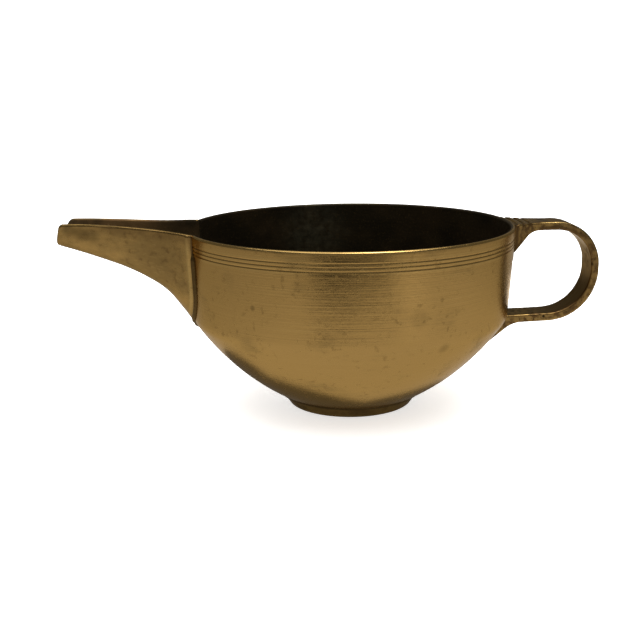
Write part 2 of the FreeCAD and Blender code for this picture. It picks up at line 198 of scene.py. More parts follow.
def wall_radius(heights):
    """Radius of the leaning upper wall."""
    return RIM_RADIUS - (RIM_HEIGHT - np.asarray(heights)) * math.tan(WALL_LEAN)


def bowl_face(skin=0.0, step=1.2, fine=0.09):
    """The bowl's outer face moved out by skin: rows of across and up, from the base to
    just below the rim."""
    flat = np.linspace(FLAT_START, BOWL_ARCS[0][0], 14)[:-1]
    parts = [np.column_stack([flat, np.full(len(flat), BOWL_BASE - skin)])]
    for across, up, radius, first, last in BOWL_ARCS:
        parts.append(arc_points(across, up, radius + skin, first, last, step)[:-1])
    _, shoulder_up, shoulder_radius, *_ = BOWL_ARCS[-1]
    start = shoulder_up + (shoulder_radius + skin) * math.sin(-WALL_LEAN)
    lines_low, lines_high = LINE_HEIGHTS[-1] - LINE_MARGIN, LINE_HEIGHTS[0] + LINE_MARGIN
    heights = np.concatenate([np.arange(start, lines_low, step),
                              np.arange(lines_low, lines_high, fine),
                              np.arange(lines_high, RIM_HEIGHT - RIM_ROUND, step / 2)])
    parts.append(np.column_stack([wall_radius(heights) + skin, heights]))
    return np.vstack(parts)


FACE = bowl_face()


def bowl_radius(heights, skin=0.0):
    """Radius of the bowl's outer face, moved out by skin. Above the rim it stays upright."""
    side = FACE[FACE[:, 1] > BOWL_BASE + 0.01]
    radius = np.interp(heights, side[:, 1], side[:, 0])
    return np.where(np.asarray(heights) > RIM_HEIGHT - RIM_ROUND,
                    np.minimum(wall_radius(heights), RIM_RADIUS), radius) + skin


def bowl_normal(point):
    """Outward direction of the bowl's face at a point on it."""
    rise = 0.2
    slope = (bowl_radius(point[2] + rise) - bowl_radius(point[2] - rise)) / (2 * rise)
    around = np.array([point[0], point[1], 0]) / np.hypot(point[0], point[1])
    normal = around - np.array([0, 0, slope])
    return normal / np.linalg.norm(normal)


def lathe(profile, columns):
    """Rows round the axis, one for each point of a profile of across and up."""
    angles = np.linspace(0, 2 * math.pi, columns, endpoint=False)
    return np.stack([np.column_stack([across * np.cos(angles), across * np.sin(angles),
                                      np.full(columns, up)]) for across, up in profile])


def bowl_profile():
    """Up the outer face with its turned lines, over the rim and down the inner face."""
    outer = bowl_face()
    for height in LINE_HEIGHTS:
        outer[:, 0] -= LINE_DEPTH * bump(height, LINE_HALF, outer[:, 1])
    under = RIM_HEIGHT - RIM_ROUND
    edge = wall_radius(under) - RIM_CLEAR
    rim = [arc_points(edge - RIM_ROUND, under, RIM_ROUND, 0, 90, FINE_STEP),
           arc_points(edge - WALL + RIM_ROUND, under, RIM_ROUND, 90, 180, FINE_STEP)]
    inner = bowl_face(-WALL, fine=0.6)[::-1]
    return np.vstack([outer, *rim, inner])


def make_bowl():
    """The turned bowl with the faint hollows of beaten metal."""
    rows = lathe(bowl_profile(), 420)
    flat = rows.reshape(-1, 3)
    dent = sum(wobble(flat, size, seed) * depth for size, seed, depth in DENTS)
    dent = (dent + DENT_RISE).reshape(rows.shape[:2])
    # the foot's seat and the lines below the rim stay true
    dent *= smoothstep(6, 14, rows[:, :, 2]) * smoothstep(67, 60, rows[:, :, 2])
    radius = np.hypot(rows[:, :, 0], rows[:, :, 1])
    rows[:, :, :2] *= (1 + dent / radius)[:, :, None]
    return make_piece("bowl_body", rows, caps=(True, True),
                      replaces=["bowl"])


# ---- the spout

SHEET = 1.7
# reach, half width at the top, height of the top, height of the keel
STATIONS = np.array([
    (51, 24.5, 68.0, 27.2), (57, 21.0, 68.2, 32.2), (61, 18.6, 68.6, 36.7),
    (66, 15.4, 69.0, 43.1), (73, 12.4, 69.6, 48.8), (83, 10.5, 70.4, 54.1),
    (92, 9.2, 71.0, 57.6), (100, 8.7, 71.3, 60.4), (107.7, 8.4, 71.3, 62.9),
])
# the keel's radius as a share of the half width
SPOUT_ROUND = 0.88
# each lip's lean and the radius of its top corner, and the radius of its lower corner
NEAR_LIP = (math.radians(15), 2.0)
FAR_LIP = (math.radians(24), 2.6)
LIP_TOE = 1.3
# about how long the spout's section is from edge to edge, round the keel
GIRTH = 62.0
# the reaches between which the spout leaves the bowl
ROOT_REACH = (50.0, 80.0)
ROOT_SUNK = 0.6
# how far the sheet is let down, which keeps its uneven edge in the CAD's box
TOP_CLEAR = 0.1


def spline(places, values):
    """The natural cubic spline through values, as a function of place."""
    gaps = np.diff(places)
    slopes = np.diff(values) / gaps
    size = len(places)
    system, right = np.eye(size), np.zeros(size)
    for i in range(1, size - 1):
        system[i, i - 1:i + 2] = gaps[i - 1], 2 * (gaps[i - 1] + gaps[i]), gaps[i]
        right[i] = 6 * (slopes[i] - slopes[i - 1])
    bends = np.linalg.solve(system, right)

    def value(place):
        place = np.asarray(place, float)
        i = np.clip(np.searchsorted(places, place) - 1, 0, size - 2)
        a, b = places[i + 1] - place, place - places[i]
        gap = gaps[i]
        return ((bends[i] * a ** 3 + bends[i + 1] * b ** 3) / (6 * gap)
                + (values[i] / gap - bends[i] * gap / 6) * a
                + (values[i + 1] / gap - bends[i + 1] * gap / 6) * b)
    return value


spout_half, spout_top, spout_keel = (spline(STATIONS[:, 0], STATIONS[:, i]) for i in (1, 2, 3))


def spout_point(reach, share, skin=0.0):
    """Points of the spout's outer face moved out by skin. Share runs from 0 at the near top
    edge, round the keel, to 1 at the far one."""
    reach, share = np.broadcast_arrays(np.asarray(reach, float), np.asarray(share, float))
    half, top = spout_half(reach), spout_top(reach)
    radius = half * SPOUT_ROUND
    middle = spout_keel(reach) + radius
    half, radius = half + skin, radius + skin
    away = np.hypot(half, top - middle)
    side = np.sqrt(away ** 2 - radius ** 2)
    foot = np.arctan2(top - middle, half) - np.arccos(radius / away)
    quarter = radius * (np.pi / 2 + foot)
    run = np.abs(share - 0.5) * 2 * (quarter + side)
    angle = -np.pi / 2 + np.minimum(run, quarter) / radius
    along = np.maximum(run - quarter, 0)
    across = radius * np.cos(angle) - along * np.sin(angle)
    up = middle + radius * np.sin(angle) + along * np.cos(angle)
    return np.stack([-reach, across * np.where(share < 0.5, -1, 1), up], axis=-1)


def spout_root(share, skin, depth):
    """How far out each line of the spout leaves the bowl's face, depth under it."""
    low, high = (np.full(len(share), limit) for limit in ROOT_REACH)
    for _ in range(40):
        middle = (low + high) / 2
        point = spout_point(middle, share, skin)
        outside = np.hypot(point[:, 0], point[:, 1]) > bowl_radius(point[:, 2], -depth)
        low, high = np.where(outside, low, middle), np.where(outside, middle, high)
    return (low + high) / 2


def lip_end(height, lean, corner):
    """How far out the spout ends at a height: a leaning line with rounded corners."""
    keel, top = STATIONS[-1][3], STATIONS[-1][2]
    line = SPOUT_TIP - (height - keel) * math.tan(lean)
    under = top - corner
    tangent = under + corner * math.sin(lean)
    centre = SPOUT_TIP - (tangent - keel) * math.tan(lean) - corner * math.cos(lean)
    rise = np.clip(height - under, 0, corner)
    rounded = centre + np.sqrt(corner ** 2 - rise ** 2)
    toe = np.clip(LIP_TOE - (height - keel), 0, LIP_TOE)
    end = np.where(height > tangent, rounded, line)
    return end - LIP_TOE + np.sqrt(LIP_TOE ** 2 - toe ** 2)


def spout_end(point):
    """How far out the spout ends at each point. The near lip stands more upright than the
    far one."""
    side = smoothstep(-6, 6, point[:, 1])
    return (lip_end(point[:, 2], *NEAR_LIP) * (1 - side)
            + lip_end(point[:, 2], *FAR_LIP) * side)


def edge_steps(radius, count):
    """Distances from a rounded edge that are even round the rounding."""
    return radius * (1 - np.cos(np.linspace(0, np.pi / 2, count)))


def edge_distance(rows):
    """How far each point of a grid is from its sides and its last row."""
    border = np.vstack([rows[:, 0], rows[-1], rows[:, -1]])
    return np.array([np.sqrt(((row[:, None] - border[None]) ** 2).sum(axis=2)).min(axis=1)
                     for row in rows])


def spout_sheet():
    """The middle of the spout's sheet as rows from the root to the tip, the reach of each
    point beyond the root, and its distance from the free edge."""
    skin = -SHEET / 2
    tip = edge_steps(SHEET / 2, 7)
    edge = tip / GIRTH
    share = np.concatenate([edge, np.linspace(edge[-1], 1 - edge[-1], 150)[1:-1], 1 - edge[::-1]])
    root = spout_root(share, skin, ROOT_SUNK)
    end = np.full(len(share), SPOUT_TIP)
    for _ in range(30):
        end = spout_end(spout_point(end, share, skin))
    near = np.arange(0, 3.6, 0.2)
    start, stop = root + near[-1], end - tip[-1]
    reach = np.vstack([root + step for step in near]
                      + [start + (stop - start) * step for step in np.linspace(0, 1, 110)[1:-1]]
                      + [end - step for step in tip[::-1]])
    rows = spout_point(reach, share[None, :], skin)
    return rows, reach - root, edge_distance(rows)


def sheet_normals(rows):
    """Directions square to the spout's sheet, away from the trough."""
    normals = np.cross(np.gradient(rows, axis=0), np.gradient(rows, axis=1))
    normals /= np.linalg.norm(normals, axis=2)[:, :, None]
    keel = normals[rows.shape[0] // 2, rows.shape[1] // 2]
    return -normals if keel[2] > 0 else normals


def root_ridge(beyond, height):
    """The raised edge along the spout's root: a low rib on the sides, a swell at the keel."""
    side = 0.3 * bump(1.9, 1.0, beyond) * smoothstep(36, 50, height)
    return side + 0.4 * bump(0, 3.2, beyond) * smoothstep(44, 36, height)


def skin_faces(count, width):
    """Faces of a skin that goes out along a grid's outer points, turns at the sides and the
    last row, and comes back along the inner points, which are numbered after the outer."""
    back = count * width
    faces = []
    for i in range(count - 1):
        for j in range(width - 1):
            a, b = i * width + j, i * width + j + 1
            c, d = b + width, a + width
            faces.append((a, b, c, d))
            faces.append((back + d, back + c, back + b, back + a))
    for j in range(width - 1):
        faces.append((j + 1, j, back + j, back + j + 1))
    border = ([i * width for i in range(count)] + [i * width + width - 1 for i in range(count)]
              + [(count - 1) * width + j for j in range(width)])
    same = {back + v: v for v in border}
    return [tuple(dict.fromkeys(same.get(v, v) for v in face)) for face in faces]


def make_spout():
    """The spout's sheet with rounded free edges, uneven faces and a ridge at its root."""
    rows, beyond, away = spout_sheet()
    normals = sheet_normals(rows)
    share = np.clip(away / (SHEET / 2), 0, 1)
    half = SHEET / 2 * np.sqrt(1 - (1 - share) ** 2)
    ridge = root_ridge(beyond, rows[:, :, 2])
    uneven = (wobble(rows.reshape(-1, 3), 9, 3) * 0.05 - 0.05).reshape(half.shape) * share
    rows[:, :, 2] -= TOP_CLEAR
    outer = rows + normals * (half + ridge * share + uneven)[:, :, None]
    inner = rows - normals * (half - uneven)[:, :, None]
    points = np.vstack([outer.reshape(-1, 3), inner.reshape(-1, 3)])
    faces = skin_faces(*half.shape)
    used = sorted({v for face in faces for v in face})
    order = {v: i for i, v in enumerate(used)}
    faces = [tuple(order[v] for v in face) for face in faces]
    piece = finish_piece("spout_sheet", points[used], faces, ["spout"])
    paint(piece, "inside", np.array(used) >= half.size)
    return piece


def mouth_cutter():
    """What the trough takes out of the bowl's wall: its inside, open to above the rim."""
    share = np.linspace(0, 1, 121)
    high = RIM_HEIGHT + 6
    rows = []
    for reach in np.linspace(50.5, 66, 32):
        line = spout_point(reach, share, -SHEET)
        rows.append(np.vstack([line, (-reach, line[-1, 1], high), (-reach, line[0, 1], high)]))
    return make_piece("mouth_cutter", rows, caps=(True, True))


# ---- the handle

STRAP = 3.2
STRAP_HALF = 6.2
STRAP_ROUND = 0.7
# the loop's outer face: centre across, centre up and radius of its two arcs, and the slope
# in degrees of the straight run below them
UPPER = (77.5, 51.4, 16.6)
LOWER = (74.5, 49.6, 19.6)
LOWER_SLOPE = 1.75
# the upper root starts here, has closely spaced rows to past its reeds, and belongs to the
# first rows of the handle
ROOT_START = 60.0
REEDS_END = 68.6
ROOT_ROWS = 100
# the upper root widens from a reach inwards, round a radius, up to a half width
FLARE_REACH = 76.0
FLARE_RADIUS = 25.3
FLARE_MOST = 12.5
# the upper root's underside: a line up from its foot, then an arc into the strap
GUSSET_FOOT = (60.0, 56.0)
GUSSET_TANGENT = (65.74, 62.70)
GUSSET_ARC = (70.3, 58.8, 6.0)
# the heel: an arc between two directions, then a line to the toe's outer and inner edge
HEEL = (65.321, 19.205, 10.5)
HEEL_TURN = (91.75, 129.23)
HEEL_INSIDE = (57.9, 32.72)
TOE = (53.0, 22.7)
TOE_INSIDE = (50.75, 24.95)
TOE_ROUND = 0.6
TOE_AHEAD = np.array([-0.775, 0, -0.632])
# how far the heel and the upper root reach into the bowl's wall, and which way is into it
# below the heel
HEEL_SUNK = 0.8
TOP_SUNK = 0.7
INTO_BELLY = np.array([-0.62, 0.5])
BELLY_TOP = 32.3
# the reeds across the upper root, and the ridges beside them
REEDS = (61.3, 63.9, 66.6)
REED_RIDGES = (62.6, 65.2, 68.0)


def underside(across):
    """Height of the upper root's underside."""
    slope = ((GUSSET_TANGENT[1] - GUSSET_FOOT[1]) / (GUSSET_TANGENT[0] - GUSSET_FOOT[0]))
    line = GUSSET_FOOT[1] + (across - GUSSET_FOOT[0]) * slope
    drop = min(abs(across - GUSSET_ARC[0]), GUSSET_ARC[2])
    bend = GUSSET_ARC[1] + math.sqrt(GUSSET_ARC[2] ** 2 - drop ** 2)
    if across < GUSSET_TANGENT[0]:
        return line
    return bend if across < GUSSET_ARC[0] else HANDLE_TOP - STRAP


def root_half(across):
    """Half width of the upper root."""
    run = max(FLARE_REACH - across, 0)
    half = STRAP_HALF + FLARE_RADIUS - math.sqrt(FLARE_RADIUS ** 2 - run ** 2)
    return min(half, FLARE_MOST)


def even(points, count):
    """Count points evenly spaced along a polyline."""
    points = np.asarray(points, float)
    steps = np.concatenate([[0], np.cumsum(np.hypot(*np.diff(points, axis=0).T))])
    places = np.linspace(0, steps[-1], count)
    return np.column_stack([np.interp(places, steps, points[:, i]) for i in (0, 1)])


def turned(arc, directions, inwards=0.0):
    """Points on an arc of the strap, moved towards its centre."""
    across, up, radius = arc
    angles = np.radians(directions)
    return np.column_stack([across + (radius - inwards) * np.cos(angles),
                            up + (radius - inwards) * np.sin(angles)])


def handle_sides():
    """Side view of the handle: rows of outer point, inner point and half width."""
    root = np.concatenate([np.arange(ROOT_START, REEDS_END, 0.1),
                           np.arange(REEDS_END, UPPER[0], 0.4)])
    rows = [((x, HANDLE_TOP), (x, underside(x)), root_half(x)) for x in root]
    for arc, first, last in ((UPPER, 90, 0), (LOWER, 0, -90 + LOWER_SLOPE)):
        directions = np.linspace(first, last, 64)
        outer, inner = turned(arc, directions), turned(arc, directions, STRAP)
        rows += [(a, b, STRAP_HALF) for a, b in zip(outer, inner)]
    low, heel = outer[-1], turned(HEEL, [HEEL_TURN[0]])[0]
    above = turned(HEEL, [HEEL_TURN[0]], -STRAP)[0]
    for share in np.linspace(0, 1, 22)[1:-1]:
        rows.append((low + (heel - low) * share, inner[-1] + (above - inner[-1]) * share,
                     STRAP_HALF))
    outer = even(np.vstack([arc_points(*HEEL, *HEEL_TURN, 0.3), TOE]), 40)
    belly = FACE[(FACE[:, 1] > TOE_INSIDE[1] - 0.5) & (FACE[:, 1] < BELLY_TOP)][::-1]
    sunk = belly + INTO_BELLY * HEEL_SUNK
    inner = even(np.vstack([above, HEEL_INSIDE, sunk, TOE_INSIDE]), 40)
    rows += [(a, b, STRAP_HALF) for a, b in zip(outer, inner)]
    return rows


def ring(outer, inner, half, rounding):
    """A rounded rectangle across the strap, between its inner and outer points, and how
    high each of its points is: 0 at the inner face and 1 at the outer one."""
    outer, inner = np.asarray(outer, float), np.asarray(inner, float)
    thick = np.linalg.norm(outer - inner)
    rise = (outer - inner) / thick
    soft = min(rounding, thick / 2.2)
    across, up = half - soft, thick - soft
    corners = ((across, up, 0), (-across, up, 90), (-across, soft, 180), (across, soft, 270))
    line = []
    for number, (y, v, first) in enumerate(corners):
        angles = np.radians(np.linspace(first, first + 90, 7))
        line += [(y + soft * math.cos(a), v + soft * math.sin(a)) for a in angles]
        following = corners[(number + 1) % 4]
        count = 18 if number % 2 == 0 else 11
        turn = math.radians(first + 90)
        start = np.array([y, v]) + soft * np.array([math.cos(turn), math.sin(turn)])
        stop = np.array(following[:2]) + soft * np.array([math.cos(turn), math.sin(turn)])
        line += [tuple(start + (stop - start) * s) for s in np.linspace(0, 1, count)[1:-1]]
    line = np.array(line)
    spot = inner + line[:, 1:2] * rise
    return np.column_stack([spot[:, 0], line[:, 0], spot[:, 1]]), line[:, 1] / thick


def follow_wall(rows, is_root):
    """The strap with the end of its upper root moved onto the bowl's round wall."""
    end = np.sqrt(bowl_radius(rows[:, :, 2], -TOP_SUNK) ** 2 - rows[:, :, 1] ** 2)
    first = rows[0, 0, 0]
    share = np.clip((FLARE_REACH - rows[:, :, 0]) / (FLARE_REACH - first), 0, 1)
    moved = rows.copy()
    moved[:, :, 0] = np.where(is_root, rows[:, :, 0] - share ** 2 * (first - end), rows[:, :, 0])
    return moved


def reed_depth(reach, heights):
    """Depth of the reeds across the top, and of the first one's run down the sides."""
    depth = sum(0.5 * bump(middle, 0.75, reach) for middle in REEDS)
    on_top = smoothstep(0.93, 1.0, heights)
    down = 0.45 * bump(REEDS[0], 0.7, reach) * (1 - on_top) * smoothstep(0.05, 0.2, heights)
    return depth * on_top + down


def strap_normals(rows):
    """Directions outwards from a strap whose rows close on themselves."""
    along = np.gradient(rows, axis=0)
    across = np.roll(rows, -1, axis=1) - np.roll(rows, 1, axis=1)
    normals = np.cross(along, across)
    normals /= np.maximum(np.linalg.norm(normals, axis=2), 1e-9)[:, :, None]
    centre = rows.mean(axis=1, keepdims=True)
    return -normals if ((rows - centre) * normals).sum() < 0 else normals


def round_toe(last):
    """Rows beyond the last one that round the toe's end."""
    middle = last.mean(axis=0)
    spread = last - middle
    size = np.linalg.norm(spread, axis=1)[:, None]
    rows = []
    for angle in np.radians((30, 60, 90)):
        pull = TOE_ROUND * (1 - math.cos(angle))
        rows.append(middle + spread * (1 - pull / size) + TOE_AHEAD * TOE_ROUND * math.sin(angle))
    return rows


def make_handle():
    """The cast strap: reeds on its upper root, a faintly uneven skin and a rounded toe."""
    rings = [ring(outer, inner, half, STRAP_ROUND) for outer, inner, half in handle_sides()]
    rows, heights = (np.array(part) for part in zip(*rings))
    reach = rows[:, :, 0]
    is_root = np.arange(len(rows))[:, None] < ROOT_ROWS
    rows = follow_wall(rows, is_root)
    normals = strap_normals(rows)
    rows -= normals * (reed_depth(reach, heights) * is_root)[:, :, None]
    flat = rows.reshape(-1, 3)
    cast = wobble(flat, 6, 5) * 0.06 + wobble(flat, 2.2, 6) * 0.03 - 0.09
    rows += normals * cast.reshape(heights.shape)[:, :, None]
    rows = np.vstack([rows, round_toe(rows[-1])])
    return make_piece("handle_strap", rows, caps=(True, True),
                      replaces=["handle"])


# ---- the foot and the solder

FOOT_BASE = 23.6
FOOT_BORE = 20.0
# how far the foot's top edge is set in from the CAD's
FOOT_INSET = 0.4
# roundings of its outer lower and upper edges
LOW_ROUND = 0.75
HIGH_ROUND = 0.3
# how deep a bead may reach into the wall, so that it doesn't come out inside
BEAD_SUNK = 0.6
# outlines of the handle's two roots on the wall, across and up
TOP_ROOT = [(-12.2, 65.6), (-12.2, 56.2), (-11.2, 55.3), (11.2, 55.3), (12.2, 56.2),
            (12.2, 65.6)]
HEEL_ROOT = [(-6.2, 33.6), (-6.2, 25.2), (-5.4, 24.5), (5.4, 24.5), (6.2, 25.2), (6.2, 33.6)]


def make_foot():
    """A turned ring: up its leaning outside, over the rounded top and down the bore."""
    base, top, bore = FOOT_BASE, FOOT_RADIUS - FOOT_INSET, FOOT_BORE
    profile = np.vstack([
        arc_points(base - LOW_ROUND, LOW_ROUND, LOW_ROUND, -90, -28, FINE_STEP),
        even([(base - 0.09, 0.4), (top - 0.35, FOOT_HEIGHT - 0.35)], 12),
        arc_points(top - 0.35, FOOT_HEIGHT - HIGH_ROUND, HIGH_ROUND, -20, 90, FINE_STEP),
        even([(top - 0.5, FOOT_HEIGHT), (bore + 0.2, 2.5)], 10),
        even([(bore, 2.2), (bore, 0.4)], 6),
        arc_points(bore + 0.3, 0.3, 0.3, 180, 270, 0.1),
        even([(bore + 0.5, 0), (base - 0.9, 0)], 6)])
    rows = lathe(profile, 300)
    rows = np.concatenate([rows, rows[:1]])
    return weld(make_piece("foot_band", rows, replaces=["foot_ring"]))


def weld(piece):
    """Join points that lie in the same place."""
    work = bmesh.new()
    work.from_mesh(piece.data)
    bmesh.ops.remove_doubles(work, verts=work.verts, dist=1e-7)
    work.to_mesh(piece.data)
    work.free()
    return piece


def bead(name, path, side, across, proud, node, offset, closed=False):
    """A bead of solder along a path on the bowl. Side points away from the joined piece;
    across and proud are its half width and its height above the bowl at each point, and
    offset is how far its middle stands off the path, as a share of the half width."""
    angles = np.linspace(0, 2 * math.pi, 16, endpoint=False)
    rows = []
    for i, point in enumerate(path):
        normal = bowl_normal(point)
        out = side[i] - normal * np.dot(side[i], normal)
        out /= np.linalg.norm(out)
        rise = np.maximum(np.sin(angles) * proud[i], -BEAD_SUNK)
        line = np.outer(np.cos(angles) * across[i], out) + np.outer(rise, normal)
        rows.append(point + out * across[i] * offset[i] + line)
    if closed:
        rows.append(rows[0])
    piece = make_piece(name, rows, caps=(not closed, not closed),
                       replaces=[node])
    return weld(piece) if closed else piece


def spout_seam(share):
    """Points of the line where the spout's outer face leaves the bowl's."""
    return spout_point(spout_root(share, 0, 0), share)


def spout_bead():
    """A rough bead that thins out at both ends and swells under the keel."""
    share = np.linspace(0.06, 0.94, 260)
    path = spout_seam(share)
    side = path - np.array([-70, 0, 62])
    ends = smoothstep(0.0, 0.04, 0.44 - np.abs(share - 0.5))
    rough = wobble(path, 2.6, 8)
    keel = bump(0.5, 0.05, share)
    across = 0.08 + (1.15 + 0.16 * rough) * ends + 0.5 * keel
    proud = 0.05 + (1.0 + 0.12 * rough) * ends + 0.7 * keel
    return bead("spout_solder_bead", path, side, across, proud, "spout_solder",
                0.4 + 0.4 * keel)


def root_path(corners):
    """Points on the bowl's wall along lines between corners, given across and up."""
    path = []
    for (y0, z0), (y1, z1) in zip(corners, corners[1:]):
        for share in np.linspace(0, 1, 30, endpoint=False):
            y, z = y0 + (y1 - y0) * share, z0 + (z1 - z0) * share
            path.append((math.sqrt(bowl_radius(z) ** 2 - y * y), y, z))
    return np.array(path)


def root_bead(name, node, corners, inside):
    """A bead of solder round one root of the handle."""
    path = root_path(corners)
    rough = wobble(path, 2.2, 9)
    share = np.linspace(0, 1, len(path))
    ends = smoothstep(0, 0.08, share) * smoothstep(0, 0.08, 1 - share)
    return bead(name, path, path - np.array(inside), 0.08 + (0.38 + 0.1 * rough) * ends,
                0.05 + (0.28 + 0.06 * rough) * ends, node, np.full(len(path), 0.55))


def foot_bead():
    """A thin bead in the corner between the foot's top and the belly."""
    height = FOOT_HEIGHT - 0.15
    path = lathe([(float(bowl_radius(height)), height)], 300)[0]
    rough = wobble(path, 3, 10)
    return bead("foot_solder_bead", path, path * np.array([1, 1, 0]), 0.5 + 0.08 * rough,
                0.26 + 0.04 * rough, "foot_solder", np.full(len(path), 0.55), closed=True)


# ---- materials

# the metal, from rubbed bright to the black patina inside, and the solder
BRIGHT = (0.56, 0.37, 0.13)
BRASS = (0.465, 0.286, 0.092)
OLIVE = (0.31, 0.195, 0.066)
BROWN = (0.15, 0.085, 0.031)
PATINA = (0.012, 0.009, 0.0045)
VERDIGRIS = (0.040, 0.037, 0.022)
LEAD = (0.12, 0.074, 0.026)
# the tint of what the metal mirrors at a grazing angle
EDGE_TINT = (0.86, 0.75, 0.58, 1)
# where the patina is greenish, and where the trough's brown starts
GREEN_PLACE = (-10, 57, 57)
ROOT_PLACE = (-55, 0, 62)


class Look:
    """A material built from nodes. Places and sizes are in millimetres."""

    def __init__(self, name):
        self.material = bpy.data.materials.new(name)
        self.material.use_nodes = True
        self.tree = self.material.node_tree
        self.shader = self.tree.nodes["Principled BSDF"]
        place = self.node("TexCoord").outputs["Object"]
        self.place = self.vector("MULTIPLY", place, (1 / MM, 1 / MM, 1 / MM))

    def node(self, kind):
        return self.tree.nodes.new("ShaderNode" + kind)

    def feed(self, socket, value):
        """Link a socket to another one, or give it a value."""
        if isinstance(value, bpy.types.NodeSocket):
            self.tree.links.new(value, socket)
        else:
            socket.default_value = value

    def outputs(self, kind, operation, first, second):
        """The outputs of a node that works on two values."""
        node = self.node(kind)
        node.operation = operation
        self.feed(node.inputs[0], first)
        self.feed(node.inputs[1], second)
        return node.outputs

    def vector(self, operation, first, second):
        return self.outputs("VectorMath", operation, first, second)["Vector"]

    def plus(self, first, second):
        return self.outputs("Math", "ADD", first, second)[0]

    def minus(self, first, second):
        return self.outputs("Math", "SUBTRACT", first, second)[0]

    def times(self, first, second):
        return self.outputs("Math", "MULTIPLY", first, second)[0]

    def noise(self, size, stretch=(1, 1, 1), detail=3, seed=0):
        """Noise from 0 to 1 with features of about size mm, longer along stretch."""
        node = self.node("TexNoise")
        share = tuple(1 / (size * s) for s in stretch)
        moved = self.vector("MULTIPLY", self.place, share)
        self.feed(node.inputs["Vector"], self.vector("ADD", moved, (seed, seed * 2, seed * 3)))
        self.feed(node.inputs["Scale"], 1.0)
        self.feed(node.inputs["Detail"], detail)
        return node.outputs["Fac"]

    def ease(self, value, low, high, first=0.0, last=1.0):
        """Value mapped smoothly so that low gives first and high gives last."""
        node = self.node("MapRange")
        node.interpolation_type = "SMOOTHSTEP"
        for socket, given in zip(node.inputs, (value, low, high, first, last)):
            self.feed(socket, given)
        return node.outputs["Result"]

    def mix(self, share, first, second):
        """The first colour, with a share of the second one over it."""
        node = self.node("Mix")
        node.data_type = "RGBA"
        self.feed(node.inputs["Factor"], share)
        for socket, colour in zip((node.inputs[6], node.inputs[7]), (first, second)):
            self.feed(socket, (*colour, 1) if isinstance(colour, tuple) else colour)
        return node.outputs[2]

    def painted(self, name):
        """A number that paint stored on the piece."""
        node = self.node("Attribute")
        node.attribute_name = name
        return node.outputs["Fac"]

    def spot(self, centre, radius, soft):
        """1 within radius of a point, falling to 0 over soft."""
        away = self.outputs("VectorMath", "DISTANCE", self.place, centre)["Value"]
        return self.ease(away, radius, radius + soft, 1.0, 0.0)

    def finish(self, colour, roughness, height, bump_mm, metallic=1.0):
        """Feed the shader and return the material."""
        node = self.node("Bump")
        node.inputs["Distance"].default_value = bump_mm * MM
        self.feed(node.inputs["Height"], height)
        self.feed(self.shader.inputs["Normal"], node.outputs["Normal"])
        self.feed(self.shader.inputs["Base Color"], colour)
        self.feed(self.shader.inputs["Roughness"], roughness)
        self.feed(self.shader.inputs["Metallic"], metallic)
        self.shader.inputs["Specular Tint"].default_value = EDGE_TINT
        return self.material


def spotted(look, colour, spots):
    """The colour with dark spots on it, and how deep they are."""
    depth = 0.0
    for centre, radius, soft, strength in spots:
        here = look.times(look.spot(centre, radius, soft), strength)
        colour = look.mix(here, colour, PATINA)
        depth = look.plus(depth, here)
    return colour, depth


def dark_inside(look, cloud, fleck, trough):
    """The patina inside: black, a little green on the far wall and brown in the trough."""
    green = look.times(look.spot(GREEN_PLACE, 3, 16), look.ease(fleck, 0.2, 0.7))
    black = look.mix(green, PATINA, VERDIGRIS)
    past_root = look.minus(1.0, look.spot(ROOT_PLACE, 8, 24))
    tan = look.times(look.ease(cloud, 0.35, 0.65, 0.1 * trough, trough), past_root)
    return look.mix(tan, black, BROWN)


def brass(name, olive=0.5, brown=0.0, rough=0.3, marks=(40, 40, 0.35), trough=0.1, spots=()):
    """Aged brass. Olive and brown are how much of those stains it carries, marks the
    stretch of its polishing marks, trough how brown its dark inside is, and spots small
    dark stains: centre, radius, soft, depth."""
    look = Look(name)
    streak = look.noise(1.0, stretch=marks, detail=5)
    cloud = look.noise(16, stretch=(1, 1, 0.7), detail=5, seed=4)
    fleck = look.noise(2.2, detail=6, seed=9)
    pore = look.noise(0.7, detail=4, seed=12)
    inside = look.painted("inside")
    tarnish = look.plus(look.times(cloud, 0.75), look.times(streak, 0.25))
    freckles = look.times(look.ease(fleck, 0.56, 0.72), look.ease(cloud, 0.35, 0.6))
    worn = look.times(look.painted("wear"), look.ease(fleck, 0.2, 0.6, 0.45, 1.0))
    grime_and_shade_mix = look.ease(look.plus(look.painted("grime_and_shade"), look.times(fleck, 0.3)), 0.25, 1.0)

    colour = look.mix(look.ease(tarnish, 0.62 - 0.3 * olive, 0.78 - 0.2 * olive), BRASS, OLIVE)
    colour = look.mix(look.times(freckles, 0.25 + brown), colour, BROWN)
    colour = look.mix(look.ease(fleck, 0.42, 0.6, 0.2 * brown, 1.3 * brown), colour, BROWN)
    colour = look.mix(look.ease(pore, 0.56, 0.7, 0.0, brown), colour, PATINA)
    colour = look.mix(look.times(look.ease(streak, 0.5, 0.75), 0.22), colour, BRIGHT)
    colour = look.mix(worn, colour, BRIGHT)
    # dirt, and the painted shade stored with it, turn the colour towards brown
    colour = look.mix(grime_and_shade_mix, colour, BROWN)
    colour, depth = spotted(look, colour, spots)
    patina = look.times(inside, look.ease(pore, 0.1, 0.5, 0.9, 1.0))
    colour = look.mix(patina, colour, dark_inside(look, cloud, fleck, trough))

    roughness = look.ease(look.plus(tarnish, freckles), 0.3, 1.2, rough - 0.05, rough + 0.14)
    roughness = look.minus(roughness, look.times(worn, 0.07))
    roughness = look.plus(roughness, look.times(inside, 0.2))
    height = look.plus(look.times(streak, 0.4), look.times(fleck, 0.35))
    height = look.minus(look.plus(height, look.times(pore, 0.15)), depth)
    metallic = look.minus(1.0, look.times(inside, 0.35))
    return look.finish(colour, roughness, height, 0.12, metallic)


